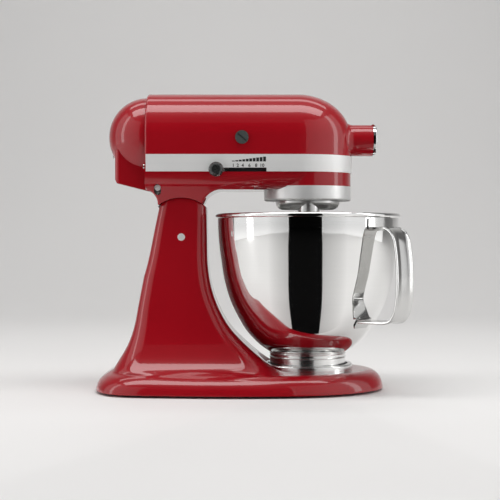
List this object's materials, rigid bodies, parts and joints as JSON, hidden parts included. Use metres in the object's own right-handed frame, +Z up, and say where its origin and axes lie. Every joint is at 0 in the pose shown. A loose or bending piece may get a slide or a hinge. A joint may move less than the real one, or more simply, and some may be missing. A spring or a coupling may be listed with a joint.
{
  "type": "stand mixer",
  "caption": "Tilt-head planetary stand mixer: egg-shaped motor head hinged on a flared pedestal, steel bowl with a strap handle, flat beater and front attachment hub.",
  "frame": {"origin": "middle of the lower face of the middle foot, at the level of the surface that the mixer stands on", "axes": "+X towards the attachment hub, +Z up, -Y the side with the speed lever"},
  "size_m": [0.3673, 0.2222, 0.352],
  "materials": {
    "red_paint": "gloss enamel",
    "band_metal": "satin silver",
    "ring_metal": "satin",
    "cast_alloy": "burnished cast alloy",
    "polished_steel": "mirror polish",
    "handle_steel": "brushed",
    "cover_chrome": "polished",
    "black_plastic": "gloss",
    "dark_plastic": "matt",
    "screw_steel": "plated",
    "shaft_steel": "ground",
    "gear_steel": "machined",
    "bronze": "sintered",
    "copper": "enamelled wire",
    "core_steel": "laminated",
    "carbon": "pressed carbon",
    "foot_rubber": "moulded"
  },
  "bodies": {
    "stand": {"base_casting": "red_paint", "pedestal": "red_paint", "pedestal_screws": "screw_steel", "rubber_feet": "foot_rubber", "bowl_clamp_plate": "cast_alloy", "clamp_plate_screws": "screw_steel", "hinge_pin": "screw_steel"},
    "head": {"motor_housing": "red_paint", "gear_housing": "red_paint", "rear_cover": "red_paint", "rear_cover_screw": "screw_steel", "trim_band": "band_metal", "trim_band_screws": "screw_steel", "drip_ring": "ring_metal", "brush_caps": "black_plastic", "brush_holders": "dark_plastic", "carbon_brushes": "carbon", "stator_core": "core_steel", "field_coils": "copper", "front_bearing_bracket": "cast_alloy", "rear_bearing_bracket": "cast_alloy", "motor_bushes": "bronze", "speed_control_plate": "dark_plastic", "slot_shroud": "dark_plastic", "cord_gland": "black_plastic", "hub_cover_pin": "screw_steel", "hub_bush": "bronze", "centre_bush": "bronze", "wheel_bush": "bronze", "gear_bearing_plate": "cast_alloy", "ring_gear": "gear_steel"},
    "armature": {"armature_shaft_with_worm": "shaft_steel", "armature_core": "core_steel", "commutator": "copper", "cooling_fan": "dark_plastic"},
    "worm_wheel_shaft": {"wheel_shaft_with_pinion": "gear_steel", "worm_wheel": "bronze"},
    "planetary": {"planetary_carrier": "cast_alloy", "carrier_pin": "shaft_steel", "beater_bush": "bronze", "centre_shaft": "shaft_steel", "centre_gear": "gear_steel", "centre_bevel_gear": "gear_steel"},
    "beater": {"beater_shaft": "shaft_steel", "beater_pinion": "gear_steel", "beater_cross_pin": "shaft_steel", "flat_beater": "cast_alloy"},
    "hub_drive": {"hub_drive_shaft": "shaft_steel", "hub_bevel_gear": "gear_steel"},
    "hub_cover": {"hub_cover": "cover_chrome"},
    "attachment_knob": {"attachment_knob": "black_plastic"},
    "speed_lever": {"speed_lever": "screw_steel", "speed_knob": "black_plastic"},
    "head_lock": {"lock_rod": "screw_steel", "lock_knob": "black_plastic"},
    "bowl": {"mixing_bowl": "polished_steel", "bowl_foot": "polished_steel", "bowl_handle": "handle_steel"}
  },
  "joints": [
    {"name": "head_tilt", "type": "hinge", "parent": "stand", "child": "head", "pos_m": [-0.0805, 0, 0.181], "axis": [0, -1, 0], "range_deg": [0, 45]},
    {"name": "planetary_spin", "type": "hinge", "parent": "head", "child": "planetary", "pos_m": [0.069, 0, 0.24], "axis": [0, 0, 1], "continuous": true},
    {"name": "beater_spin", "type": "hinge", "parent": "planetary", "child": "beater", "pos_m": [0.069, -0.0255, 0.24], "axis": [0, 0, 1], "continuous": true},
    {"name": "wheel_spin", "type": "hinge", "parent": "head", "child": "worm_wheel_shaft", "pos_m": [0.0286, 0.022, 0.29], "axis": [0, 0, 1], "continuous": true},
    {"name": "motor_spin", "type": "hinge", "parent": "head", "child": "armature", "pos_m": [0, 0, 0.2967], "axis": [1, 0, 0], "continuous": true},
    {"name": "hub_spin", "type": "hinge", "parent": "head", "child": "hub_drive", "pos_m": [0.1, 0, 0.2967], "axis": [1, 0, 0], "continuous": true},
    {"name": "hub_cover_flip", "type": "hinge", "parent": "head", "child": "hub_cover", "pos_m": [0.1469, 0, 0.3137], "axis": [0, -1, 0], "range_deg": [0, 110]},
    {"name": "attachment_knob_turn", "type": "hinge", "parent": "head", "child": "attachment_knob", "pos_m": [0.131, 0.03, 0.2967], "axis": [0, 1, 0], "continuous": true},
    {"name": "speed_slide", "type": "slide", "parent": "head", "child": "speed_lever", "axis": [1, 0, 0], "range_m": [0, 0.05]},
    {"name": "lock_slide", "type": "slide", "parent": "head", "child": "head_lock", "axis": [0, 0, -1], "range_m": [0, 0.0045]},
    {"name": "bowl_turn", "type": "hinge", "parent": "stand", "child": "bowl", "pos_m": [0.069, 0, 0.03], "axis": [0, 0, 1], "range_deg": [0, 25]}
  ],
  "couplings": [
    {"joint": "beater_spin", "follows": "planetary_spin", "ratio": -3.4286},
    {"joint": "wheel_spin", "follows": "planetary_spin", "ratio": -2.8333},
    {"joint": "motor_spin", "follows": "planetary_spin", "ratio": 56.667},
    {"joint": "hub_spin", "follows": "planetary_spin", "ratio": 1}
  ]
}
